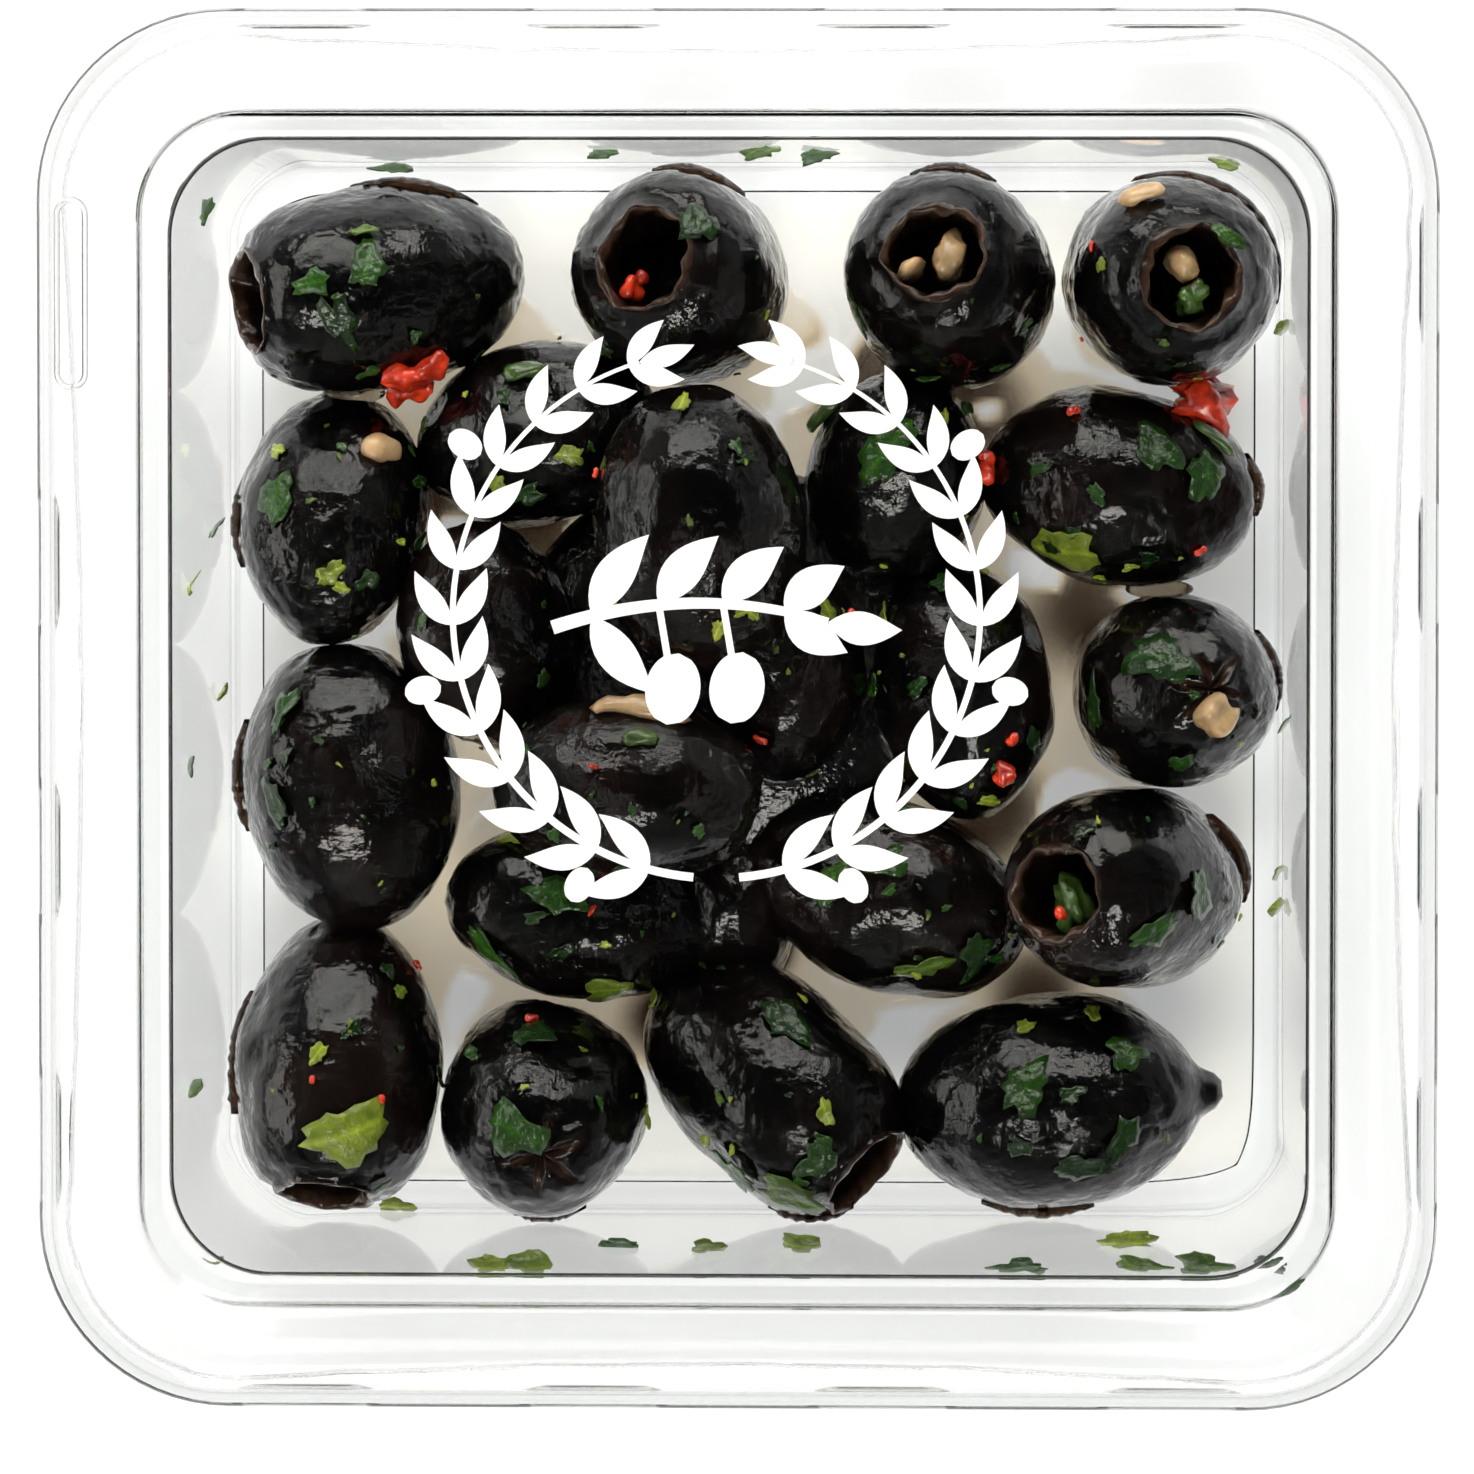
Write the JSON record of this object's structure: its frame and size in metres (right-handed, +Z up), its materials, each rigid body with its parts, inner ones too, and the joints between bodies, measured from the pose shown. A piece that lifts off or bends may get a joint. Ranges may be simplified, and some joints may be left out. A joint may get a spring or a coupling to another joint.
{
  "type": "clear tub of marinated olives",
  "caption": "Square clear plastic tub with a clear press-fit lid, filled with pitted black olives in herbs, chilli, garlic and oil.",
  "frame": {"origin": "centre of the tub's base, on the surface that it stands on", "axes": "+Z up from the base to the lid, +X and +Y along the square's sides"},
  "size_m": [0.12, 0.12, 0.046],
  "materials": {
    "tub_plastic": "clear glossy thin plastic, wetted with oil inside",
    "lid_plastic": "clear glossy thin plastic",
    "olive_skin": "near-black wet olive skin with an oily gloss"
  },
  "bodies": {
    "root": {"tub": "tub_plastic", "lid": "lid_plastic", "olives": "olive_skin"}
  },
  "joints": []
}
